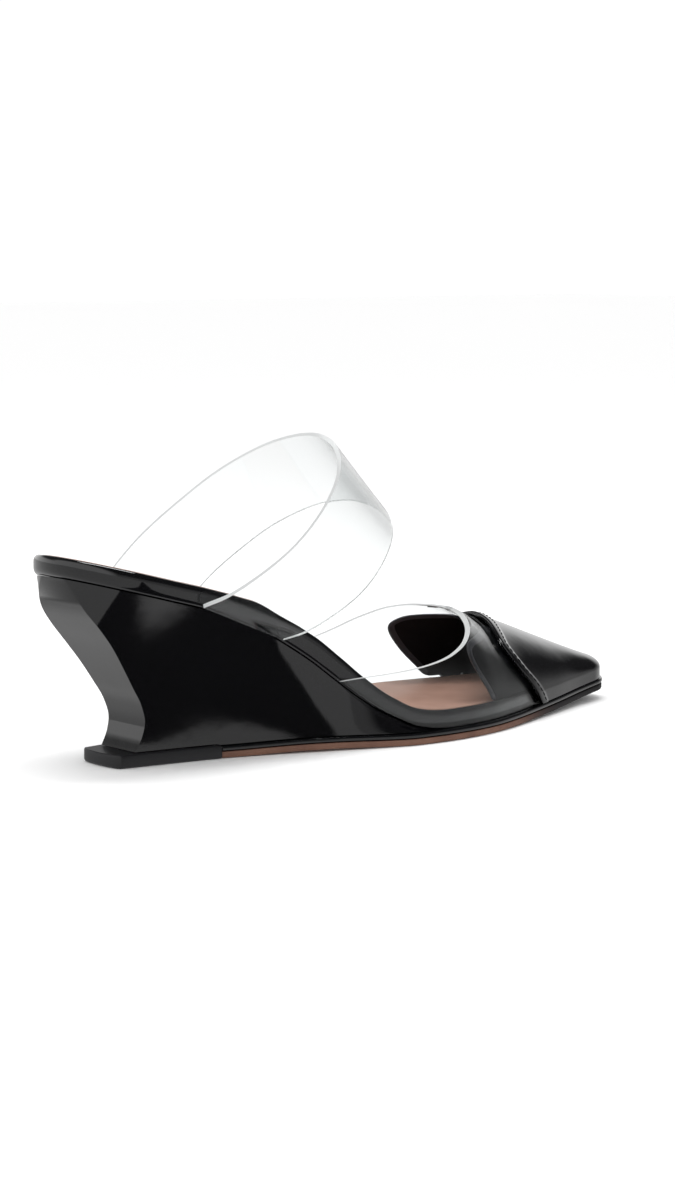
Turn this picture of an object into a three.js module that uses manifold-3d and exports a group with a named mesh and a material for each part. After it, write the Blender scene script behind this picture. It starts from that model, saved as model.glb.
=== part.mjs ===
// A right shoe: a pointed wedge mule with a clear plastic vamp and instep strap and black patent leather.
// Millimetres. +X runs from heel to toe, -Y is the outer (lateral) side, +Z is up and the floor is z = 0.
// The origin is on the floor, on the top lift's bottom face, under the middle of the heel seat.

import * as THREE from "three";
import { mergeVertices } from "three/addons/utils/BufferGeometryUtils.js";
import Module from "manifold-3d";

const wasm = await Module();
wasm.setup();

// Driving sizes of the whole shoe
const shoeLength = 241;
const ballWidth = 72;
const heelSeatWidth = 53;
const seatSetback = 40;
const wedgeHeight = 57.8;
const toeSpring = 4;
const waistArch = 0.6;

// Layers under the foot, from the floor up
const outsoleThickness = 2.0;
const weltThickness = 1.6;
const weltBulge = 0.25;
const liftThickness = 4.2;
const boardThickness = 6.2;
const insoleThickness = 1.2;
const insoleRecess = 1.3;
const fitGap = 0.3;

// The wedge heel's foot
const liftBack = 22;
const liftLength = 38;
const liftProud = 0.8;
const heelFootWidth = 19;
const wedgeInset = 1.0;
const heelFlare = 2.6;
const waistFlare = 1.2;
const wedgeFrontHeight = 0.7;

// How far the outlines' ends are rounded, seen from above
const heelRound = 24;
const boardTipRound = 7;
const soleTipRound = 9;
const liftCornerRound = 1.4;
const cutSquare = 0.01;

// The upper
const vinylWall = 1.5;
const capWall = 1.2;
const capFold = 0.7;
const capFoldWidth = 4.5;
const capOverlap = 6;
const liningWall = 0.8;
const soleProud = 1.9;
const flankShare = 0.55;
const noseLength = 4.5;
const noseDrop = 0.45;
const ridgeHeight = 33.1;

// The instep strap's two edges, as loops that lean towards the toe
const strapWall = 1.5;
const strapHalfWidth = 41;
const rearLoop = { foot: -1, rise: 50, lean: 72 };
const frontLoop = { foot: 31, rise: 40.5, lean: 60 };

const heelBack = -seatSetback;
const toeTip = heelBack + shoeLength;

// Black patent leather, clear plastic, tan leather and black rubber
const patent = new THREE.MeshStandardMaterial({ name: "patent_leather", color: 0x0b0b0c, roughness: 0.08, metalness: 0 });
const vinyl = new THREE.MeshStandardMaterial({
  name: "clear_vinyl", color: 0xf2f4f5, roughness: 0.05, metalness: 0, transparent: true, opacity: 0.3,
});
const tanLeather = new THREE.MeshStandardMaterial({ name: "tan_leather", color: 0xb98d74, roughness: 0.6, metalness: 0 });
const rubber = new THREE.MeshStandardMaterial({ name: "black_rubber", color: 0x17171a, roughness: 0.5, metalness: 0 });
const liningLeather = new THREE.MeshStandardMaterial({ name: "lining_leather", color: 0x101012, roughness: 0.5, metalness: 0 });

// The insole board's outline: half widths as shares of the ball width, by share of the shoe's length
const boardRows = [
  { at: 0.0, lateral: 0.354, medial: 0.354 },
  { at: 0.082, lateral: 0.366, medial: 0.362 },
  { at: 0.164, lateral: 0.372, medial: 0.362 },
  { at: 0.246, lateral: 0.366, medial: 0.338 },
  { at: 0.303, lateral: 0.366, medial: 0.32 },
  { at: 0.361, lateral: 0.375, medial: 0.314 },
  { at: 0.41, lateral: 0.4, medial: 0.328 },
  { at: 0.459, lateral: 0.439, medial: 0.361 },
  { at: 0.508, lateral: 0.467, medial: 0.397 },
  { at: 0.557, lateral: 0.475, medial: 0.422 },
  { at: 0.607, lateral: 0.464, medial: 0.433 },
  { at: 0.656, lateral: 0.433, medial: 0.425 },
  { at: 0.713, lateral: 0.372, medial: 0.389 },
  { at: 0.779, lateral: 0.286, medial: 0.325 },
  { at: 0.844, lateral: 0.203, medial: 0.253 },
  { at: 0.91, lateral: 0.117, medial: 0.178 },
  { at: 1.0, lateral: 0.02, medial: 0.1 },
];

// The sole's narrow waist under the wedge, on the floor: shares of the ball width
const waistRows = [
  { at: 0.08, lateral: 0.132, medial: 0.132 },
  { at: 0.213, lateral: 0.196, medial: 0.184 },
  { at: 0.27, lateral: 0.25, medial: 0.208 },
  { at: 0.32, lateral: 0.306, medial: 0.233 },
  { at: 0.369, lateral: 0.367, medial: 0.271 },
  { at: 0.418, lateral: 0.425, medial: 0.328 },
  { at: 0.467, lateral: 0.483, medial: 0.394 },
  { at: 0.508, lateral: 0.517, medial: 0.444 },
  { at: 0.557, lateral: 0.526, medial: 0.474 },
];

// The wedge's height under the insole board, as shares of the wedge height
const wedgeRows = [
  { at: 0.0, height: 1.0 },
  { at: 0.057, height: 0.933 },
  { at: 0.117, height: 0.865 },
  { at: 0.176, height: 0.799 },
  { at: 0.246, height: 0.704 },
  { at: 0.291, height: 0.595 },
  { at: 0.35, height: 0.438 },
  { at: 0.389, height: 0.317 },
  { at: 0.426, height: 0.204 },
  { at: 0.451, height: 0.138 },
  { at: 0.475, height: 0.087 },
  { at: 0.508, height: 0.031 },
  { at: 0.541, height: 0.007 },
  { at: 0.574, height: 0.0 },
  { at: 1.0, height: 0.0 },
];

// The wedge's S-shaped back: how far it stands in from the heel's back, as shares of its own height
const backRows = [
  { at: 0.0, inward: 0.38 },
  { at: 0.075, inward: 0.42 },
  { at: 0.15, inward: 0.458 },
  { at: 0.22, inward: 0.472 },
  { at: 0.31, inward: 0.447 },
  { at: 0.41, inward: 0.388 },
  { at: 0.52, inward: 0.318 },
  { at: 0.63, inward: 0.24 },
  { at: 0.74, inward: 0.153 },
  { at: 0.83, inward: 0.086 },
  { at: 0.92, inward: 0.045 },
  { at: 1.0, inward: 0.022 },
];

// The insole board's thickness and the toe's lift off the floor
const boardDepthRows = [
  { at: 0.0, depth: 1.0 },
  { at: 0.2, depth: 1.05 },
  { at: 0.35, depth: 1.2 },
  { at: 0.5, depth: 0.92 },
  { at: 0.7, depth: 0.85 },
  { at: 1.0, depth: 0.8 },
];
const springRows = [
  { at: 0.0, lift: 0.0 },
  { at: 0.64, lift: 0.0 },
  { at: 0.75, lift: 0.12 },
  { at: 0.86, lift: 0.42 },
  { at: 1.0, lift: 1.0 },
];

// The upper's ridge over the toes: its height over the board's bottom as shares of the ridge height, its
// place across the foot as shares of the ball width, and how full each flank is (2 is round, 1 is flat)
const ridgeRows = [
  { at: 0.385, height: 2.05, across: 0.03, lateralFull: 2.1, medialFull: 2.1 },
  { at: 0.49, height: 1.76, across: 0.045, lateralFull: 2.1, medialFull: 2.1 },
  { at: 0.59, height: 1.44, across: 0.06, lateralFull: 1.9, medialFull: 2.1 },
  { at: 0.656, height: 1.22, across: 0.08, lateralFull: 1.75, medialFull: 2.0 },
  { at: 0.69, height: 1.1, across: 0.095, lateralFull: 1.68, medialFull: 1.95 },
  { at: 0.734, height: 0.945, across: 0.105, lateralFull: 1.62, medialFull: 1.85 },
  { at: 0.807, height: 0.735, across: 0.1, lateralFull: 1.6, medialFull: 1.75 },
  { at: 0.885, height: 0.49, across: 0.085, lateralFull: 1.6, medialFull: 1.75 },
  { at: 0.959, height: 0.25, across: 0.06, lateralFull: 1.7, medialFull: 1.75 },
  { at: 0.99, height: 0.155, across: 0.045, lateralFull: 1.8, medialFull: 1.8 },
  { at: 1.0, height: 0.12, across: 0.042, lateralFull: 1.8, medialFull: 1.8 },
];

// The clear vamp's topline on each side, from the rim to the throat: its height above the floor as shares
// of the ridge height
const toplineRows = [
  { at: 0.36, lateral: 0.67, medial: 0.67 },
  { at: 0.41, lateral: 0.7, medial: 0.73 },
  { at: 0.45, lateral: 0.715, medial: 0.77 },
  { at: 0.52, lateral: 0.75, medial: 0.84 },
  { at: 0.574, lateral: 0.795, medial: 0.945 },
  { at: 0.615, lateral: 0.85, medial: 1.07 },
  { at: 0.656, lateral: 0.905, medial: 1.205 },
  { at: 0.69, lateral: 0.95, medial: 1.25 },
  { at: 0.72, lateral: 0.985, medial: 1.245 },
  { at: 0.74, lateral: 1.02, medial: 1.205 },
  { at: 0.755, lateral: 1.08, medial: 1.15 },
  { at: 0.77, lateral: 1.2, medial: 1.2 },
];

// The toe cap's rear edge from the side: its place as shares of the shoe's length, by height as shares of
// the ridge height
const seamRows = [
  { at: -0.6, place: 0.8 },
  { at: 0.12, place: 0.79 },
  { at: 0.21, place: 0.782 },
  { at: 0.4, place: 0.762 },
  { at: 0.59, place: 0.741 },
  { at: 0.8, place: 0.73 },
  { at: 0.91, place: 0.742 },
  { at: 1.0, place: 0.76 },
  { at: 1.1, place: 0.775 },
  { at: 1.3, place: 0.785 },
];

// The edge of the toe lining's wing on each side, from the insole round the wing's tip to the cap's seam: its
// place as shares of the shoe's length and its height as shares of the ridge height
const wingRows = {
  lateral: [
    { at: 0.675, height: 0.1 },
    { at: 0.655, height: 0.38 },
    { at: 0.636, height: 0.6 },
    { at: 0.63, height: 0.78 },
    { at: 0.645, height: 0.88 },
    { at: 0.69, height: 0.9 },
    { at: 0.78, height: 0.92 },
  ],
  medial: [
    { at: 0.775, height: 0.1 },
    { at: 0.73, height: 0.39 },
    { at: 0.692, height: 0.64 },
    { at: 0.664, height: 0.88 },
    { at: 0.672, height: 0.99 },
    { at: 0.7, height: 1.03 },
    { at: 0.78, height: 1.04 },
  ],
};

// One loop of the strap: across as shares of the half width, rise as shares of the loop's rise
const loopRows = [
  { across: -0.86, rise: 0.08 },
  { across: -1.0, rise: 0.31 },
  { across: -0.94, rise: 0.52 },
  { across: -0.68, rise: 0.77 },
  { across: -0.24, rise: 0.95 },
  { across: 0.18, rise: 1.0 },
  { across: 0.56, rise: 0.93 },
  { across: 0.82, rise: 0.76 },
  { across: 0.92, rise: 0.54 },
  { across: 0.93, rise: 0.31 },
  { across: 0.8, rise: 0.08 },
];

// A smooth curve through a table's rows that never swings past them
function smoothCurve(rows, key) {
  const steps = rows.slice(1).map((row, i) => (row[key] - rows[i][key]) / (row.at - rows[i].at));
  const slopes = rows.map((row, i) => {
    if (i === 0) return steps[0];
    if (i === rows.length - 1) return steps[steps.length - 1];
    const before = steps[i - 1];
    const after = steps[i];
    return before * after <= 0 ? 0 : (2 * before * after) / (before + after);
  });
  return (at) => {
    const place = THREE.MathUtils.clamp(at, rows[0].at, rows[rows.length - 1].at);
    let i = 0;
    while (i < rows.length - 2 && place > rows[i + 1].at) i += 1;
    const span = rows[i + 1].at - rows[i].at;
    const t = (place - rows[i].at) / span;
    const rise = rows[i + 1][key] - rows[i][key];
    const bend = slopes[i] * span * t * (1 - t) * (1 - t) - slopes[i + 1] * span * t * t * (1 - t);
    return rows[i][key] + rise * t * t * (3 - 2 * t) + bend;
  };
}

// Places along the shoe
const shareAt = (x) => (x - heelBack) / shoeLength;
const placeAt = (share) => heelBack + share * shoeLength;

// Heights of the layers along the shoe
const wedgeShare = smoothCurve(wedgeRows, "height");
const boardShare = smoothCurve(boardDepthRows, "depth");
const springShare = smoothCurve(springRows, "lift");
const waistStart = liftLength - liftBack;
const ballStart = placeAt(0.5);

function soleBottom(x) {
  const waist = THREE.MathUtils.clamp((x - waistStart) / (ballStart - waistStart), 0, 1);
  return toeSpring * springShare(shareAt(x)) + waistArch * Math.sin(Math.PI * waist) ** 2;
}
const outsoleTop = (x) => soleBottom(x) + outsoleThickness;
const weltBottom = (x) => outsoleTop(x) + fitGap;
const weltTop = (x) => weltBottom(x) + weltThickness;
const boardBottom = (x) => weltTop(x) + fitGap + wedgeHeight * wedgeShare(shareAt(x));

// How much further it is straight up than square to the board's slope
function steepness(x) {
  const step = 1;
  return Math.hypot(1, (boardBottom(x + step) - boardBottom(x - step)) / (2 * step));
}
const boardTop = (x) => boardBottom(x) + boardThickness * boardShare(shareAt(x)) * steepness(x);
const insoleSeat = (x) => boardTop(x) - insoleRecess;
const insoleBottom = (x) => insoleSeat(x) + fitGap * steepness(x);
const insoleTop = (x) => insoleBottom(x) + insoleThickness;
const wedgeTop = (x) => boardBottom(x) - fitGap * steepness(x);

// An outline seen from above, that can be grown or shrunk all round by one distance
function outlineOf({ lateral, medial, start, end, startRound, endRound }) {
  return (grow) => {
    const from = start - grow;
    const to = end + grow;
    const round = (distance, radius) => {
      const share = THREE.MathUtils.clamp(1 - distance / Math.max(radius, cutSquare), 0, 1);
      return Math.sqrt(1 - share * share);
    };
    const widths = (x) => {
      const share = shareAt(x);
      const out = ballWidth * lateral(share) + grow;
      const inn = ballWidth * medial(share) + grow;
      const middle = (inn - out) / 2;
      const half = ((inn + out) / 2) * round(x - from, startRound + grow) * round(to - x, endRound + grow);
      return { lateral: middle - half, medial: middle + half };
    };
    return { from, to, widths };
  };
}

const heelScale = heelSeatWidth / (2 * ballWidth * 0.368);
const heelFade = (share) => THREE.MathUtils.smoothstep(share, 0.2, 0.42);
const scaledBoard = (key) => {
  const curve = smoothCurve(boardRows, key);
  return (share) => curve(share) * THREE.MathUtils.lerp(heelScale, 1, heelFade(share));
};
const wallStack = fitGap + vinylWall;
const boardOutline = outlineOf({
  lateral: scaledBoard("lateral"),
  medial: scaledBoard("medial"),
  start: heelBack,
  end: toeTip - wallStack - soleProud,
  startRound: heelRound,
  endRound: boardTipRound,
});

// The sole follows the board's outline at the forefoot and its own narrow waist behind it
const waistScale = heelFootWidth / (2 * ballWidth * 0.132);
function soleHalf(key) {
  const waist = smoothCurve(waistRows, key);
  const board = smoothCurve(boardRows, key);
  const blendStart = 0.46;
  const blendEnd = 0.557;
  return (share) => {
    const foot = THREE.MathUtils.lerp(waistScale, 1, THREE.MathUtils.smoothstep(share, 0.08, 0.3));
    const behind = waist(share) * foot;
    const front = board(share) + (wallStack + soleProud) / ballWidth;
    return THREE.MathUtils.lerp(behind, front, THREE.MathUtils.smoothstep(share, blendStart, blendEnd));
  };
}
const soleLateral = soleHalf("lateral");
const soleMedial = soleHalf("medial");
const soleOutline = outlineOf({
  lateral: soleLateral,
  medial: soleMedial,
  start: waistStart,
  end: toeTip,
  startRound: cutSquare,
  endRound: soleTipRound,
});
const liftOutline = outlineOf({
  lateral: soleLateral,
  medial: soleMedial,
  start: -liftBack + liftProud,
  end: waistStart,
  startRound: liftCornerRound,
  endRound: cutSquare,
});

// Closed meshes from rings of points

function closedGeometry(points, triangles) {
  const geometry = new THREE.BufferGeometry();
  geometry.setAttribute("position", new THREE.Float32BufferAttribute(points.flatMap((p) => [p.x, p.y, p.z]), 3));
  geometry.setIndex(triangles.flat());
  return mergeVertices(geometry, 1e-5);
}

// Rings of the same count, joined one after the other, each end closed by a fan
function loft(rings) {
  const count = rings[0].length;
  const points = rings.flat();
  const triangles = [];
  for (let i = 0; i < rings.length - 1; i += 1) {
    for (let j = 0; j < count; j += 1) {
      const next = (j + 1) % count;
      const a = i * count + j;
      const b = i * count + next;
      triangles.push([a, b, a + count], [b, b + count, a + count]);
    }
  }
  for (const [ring, turn] of [[0, 1], [rings.length - 1, -1]]) {
    const middle = new THREE.Vector3();
    rings[ring].forEach((p) => middle.addScaledVector(p, 1 / count));
    const hub = points.push(middle) - 1;
    for (let j = 0; j < count; j += 1) {
      const a = ring * count + j;
      const b = ring * count + ((j + 1) % count);
      triangles.push(turn > 0 ? [hub, b, a] : [hub, a, b]);
    }
  }
  return closedGeometry(points, triangles);
}

// A plate that follows the shoe: one ring of outline points for each level, both faces laid across in strips
function plate(outline, levels, stations) {
  const rings = levels.map(({ grow, height }) => {
    const { from, to, widths } = outline(grow);
    const lateral = [];
    const medial = [];
    for (let i = 0; i <= stations; i += 1) {
      const x = from + ((to - from) * (1 - Math.cos((Math.PI * i) / stations))) / 2;
      const sides = widths(THREE.MathUtils.clamp(x, from, to));
      lateral.push(new THREE.Vector3(x, sides.lateral, height(x)));
      medial.push(new THREE.Vector3(x, sides.medial, height(x)));
    }
    return [...lateral, ...medial.reverse()];
  });
  const count = rings[0].length;
  const points = rings.flat();
  const triangles = [];
  for (let i = 0; i < rings.length - 1; i += 1) {
    for (let j = 0; j < count; j += 1) {
      const next = (j + 1) % count;
      const a = i * count + j;
      const b = i * count + next;
      triangles.push([a, b, a + count], [b, b + count, a + count]);
    }
  }
  const top = (rings.length - 1) * count;
  for (let j = 0; j < stations; j += 1) {
    const across = count - 1 - j;
    triangles.push([j, across, j + 1], [j + 1, across, across - 1]);
    triangles.push([top + j, top + j + 1, top + across], [top + j + 1, top + across - 1, top + across]);
  }
  return closedGeometry(points, triangles);
}

// Joining and cutting

function toSolid(geometry) {
  const merged = geometry.clone();
  merged.deleteAttribute("normal");
  merged.deleteAttribute("uv");
  const clean = mergeVertices(merged, 1e-5);
  const index = Array.from(clean.index.array);
  const kept = [];
  for (let i = 0; i < index.length; i += 3) {
    const [a, b, c] = index.slice(i, i + 3);
    if (a !== b && b !== c && c !== a) kept.push(a, b, c);
  }
  const make = (triVerts) => new wasm.Manifold(new wasm.Mesh({
    numProp: 3,
    vertProperties: new Float32Array(clean.attributes.position.array),
    triVerts: new Uint32Array(triVerts),
  }));
  const solid = make(kept);
  if (solid.volume() > 0) return solid;
  for (let i = 0; i < kept.length; i += 3) {
    [kept[i + 1], kept[i + 2]] = [kept[i + 2], kept[i + 1]];
  }
  return make(kept);
}

function toMesh(name, solid, material) {
  const { vertProperties, triVerts, numProp } = solid.getMesh();
  const positions = [];
  for (let i = 0; i < vertProperties.length; i += numProp) {
    positions.push(vertProperties[i], vertProperties[i + 1], vertProperties[i + 2]);
  }
  const geometry = new THREE.BufferGeometry();
  geometry.setAttribute("position", new THREE.Float32BufferAttribute(positions, 3));
  geometry.setIndex(Array.from(triVerts));
  geometry.computeVertexNormals();
  const mesh = new THREE.Mesh(geometry, material);
  mesh.name = name;
  return mesh;
}

// A side-view outline of (x, z) points pushed right through the shoe
function sideCut(outline, halfWidth = ballWidth) {
  const shape = new THREE.Shape(outline.map(([x, z]) => new THREE.Vector2(x, z)));
  const geometry = new THREE.ExtrudeGeometry(shape, { depth: 2 * halfWidth, bevelEnabled: false });
  geometry.rotateX(Math.PI / 2);
  geometry.translate(0, halfWidth, 0);
  return toSolid(geometry);
}

const spread = (from, to, steps) => Array.from({ length: steps + 1 }, (_, i) => from + ((to - from) * i) / steps);

// Outsole, welt and top lift

function makeOutsole() {
  const stations = 44;
  return toSolid(plate(soleOutline, [
    { grow: -0.5, height: soleBottom },
    { grow: 0, height: (x) => soleBottom(x) + 0.5 },
    { grow: 0, height: outsoleTop },
  ], stations));
}

function makeWelt() {
  const stations = 44;
  return toSolid(plate(soleOutline, [
    { grow: -0.1, height: weltBottom },
    { grow: weltBulge, height: (x) => weltBottom(x) + weltThickness * 0.4 },
    { grow: 0.1, height: (x) => weltTop(x) - weltThickness * 0.2 },
    { grow: -0.3, height: weltTop },
  ], stations));
}

function makeTopLift() {
  const stations = 14;
  const front = waistStart - fitGap - weltBulge;
  const body = toSolid(plate(liftOutline, [
    { grow: liftProud * 0.6, height: () => 0 },
    { grow: liftProud, height: () => 0.8 },
    { grow: liftProud, height: () => liftThickness },
  ], stations));
  const beyond = sideCut([[front, -5], [front + 20, -5], [front + 20, 20], [front, 20]]);
  return body.subtract(beyond);
}

// The wedge: cross-sections from the narrow foot to the board's underside, with the S-shaped back cut across
function makeWedge() {
  const board = boardOutline(-wedgeInset);
  const frontEnd = spread(0.4, 0.56, 160).map(placeAt)
    .find((x) => wedgeTop(x) - weltTop(x) - fitGap < wedgeFrontHeight);
  const foot = (x) => (x < waistStart ? liftThickness : weltTop(x)) + fitGap;
  const places = [
    ...spread(heelBack + wedgeInset + 0.4, heelBack + 12, 8),
    ...spread(heelBack + 16, waistStart - 0.02, 9),
    ...spread(waistStart, frontEnd, 18),
  ];
  const rings = places.map((x) => {
    const low = foot(x);
    const high = wedgeTop(x);
    const share = shareAt(x);
    const wide = board.widths(x);
    const narrow = {
      lateral: wedgeInset - ballWidth * soleLateral(share),
      medial: ballWidth * soleMedial(share) - wedgeInset,
    };
    const levels = spread(0, 1, 7);
    const flare = THREE.MathUtils.lerp(heelFlare, waistFlare, THREE.MathUtils.smoothstep(share, 0, 0.4));
    const side = (key) => levels.map((level) => new THREE.Vector3(
      x,
      THREE.MathUtils.lerp(narrow[key], wide[key], level ** flare),
      THREE.MathUtils.lerp(low, high, level),
    ));
    return [...side("lateral"), ...side("medial").reverse()];
  });
  const body = toSolid(loft(rings));
  const height = boardBottom(heelBack);
  const inward = smoothCurve(backRows, "inward");
  const behind = spread(0, 1, 26).map((level) => [heelBack + inward(level) * height, level * height]);
  const back = sideCut([
    [heelBack - 20, -10], [behind[0][0], -10], ...behind, [behind[behind.length - 1][0], height + 20],
    [heelBack - 20, height + 20],
  ]);
  return body.subtract(back);
}

// Insole board with its rolled edge, and the leather insole laid on it

function makeBoard() {
  const stations = 54;
  const depth = (x) => boardTop(x) - boardBottom(x);
  const level = (share) => (x) => boardBottom(x) + depth(x) * share;
  return toSolid(plate(boardOutline, [
    { grow: -1.5, height: level(0) },
    { grow: -0.45, height: level(0.09) },
    { grow: 0, height: level(0.27) },
    { grow: 0, height: level(0.66) },
    { grow: -0.4, height: level(0.86) },
    { grow: -1.1, height: level(0.98) },
    { grow: -1.6, height: level(1) },
    { grow: -2.3, height: insoleSeat },
  ], stations));
}

function makeInsole() {
  const stations = 54;
  return toSolid(plate(boardOutline, [
    { grow: -2.7, height: insoleBottom },
    { grow: -2.5, height: (x) => insoleBottom(x) + insoleThickness * 0.6 },
    { grow: -2.8, height: insoleTop },
  ], stations));
}

// The upper's form over the forefoot. Growing it moves every face out by that distance, so that walls,
// overlays and linings are all cut between two such forms.
const upperStart = placeAt(0.36);
const ridgeShare = smoothCurve(ridgeRows, "height");
const ridgeAcross = smoothCurve(ridgeRows, "across");
const fullness = {
  lateral: smoothCurve(ridgeRows, "lateralFull"),
  medial: smoothCurve(ridgeRows, "medialFull"),
};

function upperForm(grow) {
  const { to, widths } = boardOutline(wallStack + grow);
  const steps = 10;
  const lengthwise = 26;
  const floor = -5;
  const tipStop = 0.04;
  const rings = [];
  for (let i = 0; i <= lengthwise; i += 1) {
    const x = upperStart + (to - tipStop - upperStart) * Math.sin((Math.PI * i) / (2 * lengthwise)) ** 0.9;
    const sides = widths(x);
    const share = shareAt(x);
    const base = weltTop(x) + fitGap;
    const shoulder = boardBottom(x) + boardThickness * flankShare;
    const nearTip = THREE.MathUtils.clamp((to - x) / noseLength, 0, 1);
    const nose = 1 - noseDrop * (1 - Math.sqrt(1 - (1 - nearTip) ** 2));
    const crest = Math.max((ridgeHeight * ridgeShare(share) + grow) * nose - (shoulder - base), 0.2);
    const middle = THREE.MathUtils.clamp(ballWidth * ridgeAcross(share), sides.lateral + 0.02, sides.medial - 0.02);
    const ring = [new THREE.Vector3(x, sides.lateral, floor)];
    for (let j = 0; j <= 2 * steps; j += 1) {
      const angle = (Math.PI * j) / (2 * steps);
      const side = j <= steps ? "lateral" : "medial";
      const power = 2 / fullness[side](share);
      const out = Math.abs(Math.cos(angle)) ** power;
      const up = Math.sin(angle) ** power;
      ring.push(new THREE.Vector3(x, THREE.MathUtils.lerp(middle, sides[side], out), shoulder + crest * up));
    }
    ring.push(new THREE.Vector3(x, sides.medial, floor));
    rings.push(ring);
  }
  return toSolid(loft(rings));
}

// Side-view cuts of the upper: where it meets what is under it, the cap's leaning seam and the topline
const upperFoot = (x) => boardBottom(x);
const farAbove = 400;
const farBelow = -20;
const farBehind = upperStart - 40;
const sideCutHalf = ballWidth / 2 + 3;
const toplineShare = {
  lateral: smoothCurve(toplineRows, "lateral"),
  medial: smoothCurve(toplineRows, "medial"),
};
const topline = (side, x) => ridgeHeight * toplineShare[side](shareAt(x));
const seamShare = smoothCurve(seamRows, "place");
const seamHeights = spread(seamRows[0].at, seamRows[seamRows.length - 1].at, 28);
const seamEdge = (ahead) => seamHeights.map((at) => [placeAt(seamShare(at)) + ahead, at * ridgeHeight]);

function belowFoot(lift) {
  const xs = spread(upperStart - 20, toeTip + 20, 60);
  return sideCut([...xs.map((x) => [x, lift(x)]), [toeTip + 20, farBelow], [upperStart - 20, farBelow]]);
}

function besideSeam(ahead, far) {
  const edge = seamEdge(ahead);
  return sideCut([...edge, [edge[edge.length - 1][0], farAbove], [far, farAbove], [far, edge[0][1]]]);
}
const behindSeam = (ahead) => besideSeam(ahead, farBehind);
const aheadOfSeam = (ahead) => besideSeam(ahead, toeTip + 40);

// A cut whose side view changes in a straight line from the lateral side to the medial side
function twoSidedCut(outlineOn) {
  const points = (side, y) => outlineOn(side).map(([x, z]) => new THREE.Vector3(x, y, z));
  return toSolid(ruled(points("lateral", -sideCutHalf), points("medial", sideCutHalf)));
}

function makeVamp() {
  const wall = upperForm(0).subtract(upperForm(-vinylWall));
  const places = spread(toplineRows[0].at, toplineRows[toplineRows.length - 1].at, 34).map(placeAt);
  const throatEnd = places[places.length - 1];
  const open = twoSidedCut((side) => [
    [farBehind, topline(side, farBehind)], ...places.map((x) => [x, topline(side, x)]),
    [throatEnd, farAbove], [farBehind, farAbove],
  ]);
  return wall.subtract(open).subtract(aheadOfSeam(capOverlap)).subtract(belowFoot(upperFoot));
}

function makeToeCap() {
  const skin = upperForm(fitGap + capWall);
  const fold = upperForm(fitGap + capWall + capFold).subtract(aheadOfSeam(capFoldWidth));
  const inside = upperForm(fitGap);
  return skin.add(fold).subtract(behindSeam(0)).subtract(inside).subtract(belowFoot(upperFoot));
}

// The lining shows through the clear vamp, with a wing along each side under the topline
function makeToeLining() {
  const outer = -vinylWall - fitGap;
  const wall = upperForm(outer).subtract(upperForm(outer - liningWall));
  const steps = 24;
  const cut = twoSidedCut((side) => {
    const rows = wingRows[side];
    const edge = new THREE.SplineCurve(rows.map((row) => (
      new THREE.Vector2(placeAt(row.at), ridgeHeight * row.height)
    ))).getPoints(steps).map((p) => [p.x, p.y]);
    return [
      [farBehind, farBelow], [edge[0][0], farBelow], ...edge, [edge[steps][0], farAbove], [farBehind, farAbove],
    ];
  });
  return wall.subtract(cut).subtract(belowFoot((x) => insoleTop(x) + fitGap));
}

// Two outlines of the same count joined by straight lines, their faces closed by triangles
function ruled(near, far) {
  const faces = THREE.ShapeUtils.triangulateShape(near.map((p) => new THREE.Vector2(p.x, p.z)), []);
  const count = near.length;
  const triangles = [];
  faces.forEach(([a, b, c]) => triangles.push([a, b, c], [a + count, c + count, b + count]));
  for (let j = 0; j < count; j += 1) {
    const next = (j + 1) % count;
    triangles.push([j, j + count, next], [next, j + count, next + count]);
  }
  return closedGeometry([...near, ...far], triangles);
}

// The instep strap: a band between its rear and front loops, its ends outside the board's edge
function makeStrap() {
  const along = 44;
  const across = 3;
  const rim = boardOutline(fitGap + strapWall);
  const loopCurve = ({ foot, rise, lean }) => {
    const sides = rim.widths(foot);
    const low = boardBottom(foot);
    const place = (y, share) => new THREE.Vector3(foot + lean * share, y, low + rise * share);
    return new THREE.CatmullRomCurve3([
      place(sides.lateral, 0),
      ...loopRows.map((row) => place(row.across * strapHalfWidth, row.rise)),
      place(sides.medial, 0),
    ], false, "centripetal");
  };
  const rear = loopCurve(rearLoop);
  const front = loopCurve(frontLoop);
  const outer = spread(0, 1, along).map((t) => {
    const a = rear.getPointAt(t);
    const b = front.getPointAt(t);
    return spread(0, 1, across).map((s) => a.clone().lerp(b, s));
  });
  const inner = outer.map((row, i) => row.map((p, j) => {
    const before = outer[Math.max(i - 1, 0)][j];
    const after = outer[Math.min(i + 1, along)][j];
    const chord = after.clone().sub(before);
    const width = row[across].clone().sub(row[0]);
    return p.clone().addScaledVector(chord.cross(width).normalize(), strapWall);
  }));
  const rings = outer.map((row, i) => [...row, ...inner[i].slice().reverse()]);
  return toSolid(loft(rings));
}

const shoe = new THREE.Group();
shoe.add(
  toMesh("outsole", makeOutsole(), tanLeather),
  toMesh("welt", makeWelt(), patent),
  toMesh("top_lift", makeTopLift(), rubber),
  toMesh("wedge", makeWedge(), patent),
  toMesh("insole_board", makeBoard(), patent),
  toMesh("insole", makeInsole(), tanLeather),
  toMesh("vamp", makeVamp(), vinyl),
  toMesh("toe_cap", makeToeCap(), patent),
  toMesh("toe_lining", makeToeLining(), liningLeather),
  toMesh("instep_strap", makeStrap(), vinyl),
);

export default shoe;
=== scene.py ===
# %% [markdown]
# # A wedge mule in clear vinyl and black patent
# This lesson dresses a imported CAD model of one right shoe. The CAD solids have the true sizes but they
# are made of flat facets, and glossy patent leather shows every facet. So each visible piece is drawn
# again here from the same tables of sizes, only much finer, and it stands in for its CAD solid.

# %% Load the frame
import math

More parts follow.
